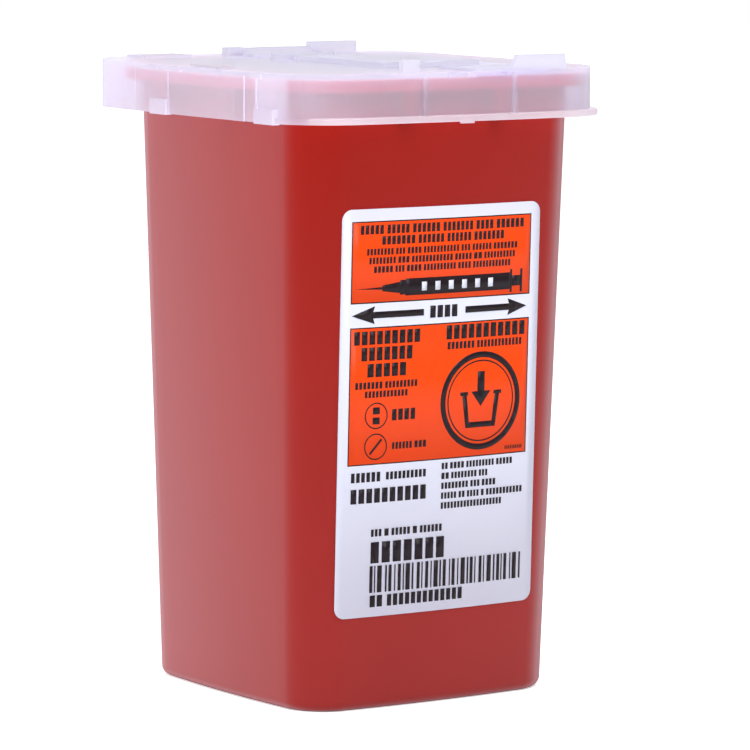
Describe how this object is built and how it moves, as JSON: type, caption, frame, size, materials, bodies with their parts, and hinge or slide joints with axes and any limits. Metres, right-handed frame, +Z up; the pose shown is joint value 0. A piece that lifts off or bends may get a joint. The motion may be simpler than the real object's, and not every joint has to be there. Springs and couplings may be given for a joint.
{
  "type": "sharps container",
  "caption": "Tall tapered square tub with a translucent push-on lid, a hinged drop door, a small flap on the door, and a front label.",
  "frame": {"origin": "middle of the flat foot of the tub", "axes": "+Z up the tub, -Y towards the labelled front, +X to the right of the front"},
  "size_m": [0.0998, 0.1069, 0.1623],
  "materials": {
    "red_tub": "satin",
    "frosted_lid": "frosted translucent",
    "frosted_door": "frosted translucent",
    "label": "satin"
  },
  "bodies": {
    "tub": {"tub": "red_tub", "label": "label"},
    "lid": {"lid": "frosted_lid"},
    "drop_door": {"drop_door": "frosted_door"},
    "needle_flap": {"needle_flap": "frosted_door"}
  },
  "joints": [
    {"name": "lid_lift", "type": "slide", "parent": "tub", "child": "lid", "axis": [0, 0, 1], "range_m": [0, 0.03]},
    {"name": "door_hinge", "type": "hinge", "parent": "lid", "child": "drop_door", "pos_m": [0.003, 0.0405, 0.15975], "axis": [-1, 0, 0], "range_deg": [0, 125]},
    {"name": "flap_hinge", "type": "hinge", "parent": "drop_door", "child": "needle_flap", "pos_m": [-0.001, 0.0176, 0.15945], "axis": [-1, 0, 0], "range_deg": [0, 95]}
  ]
}
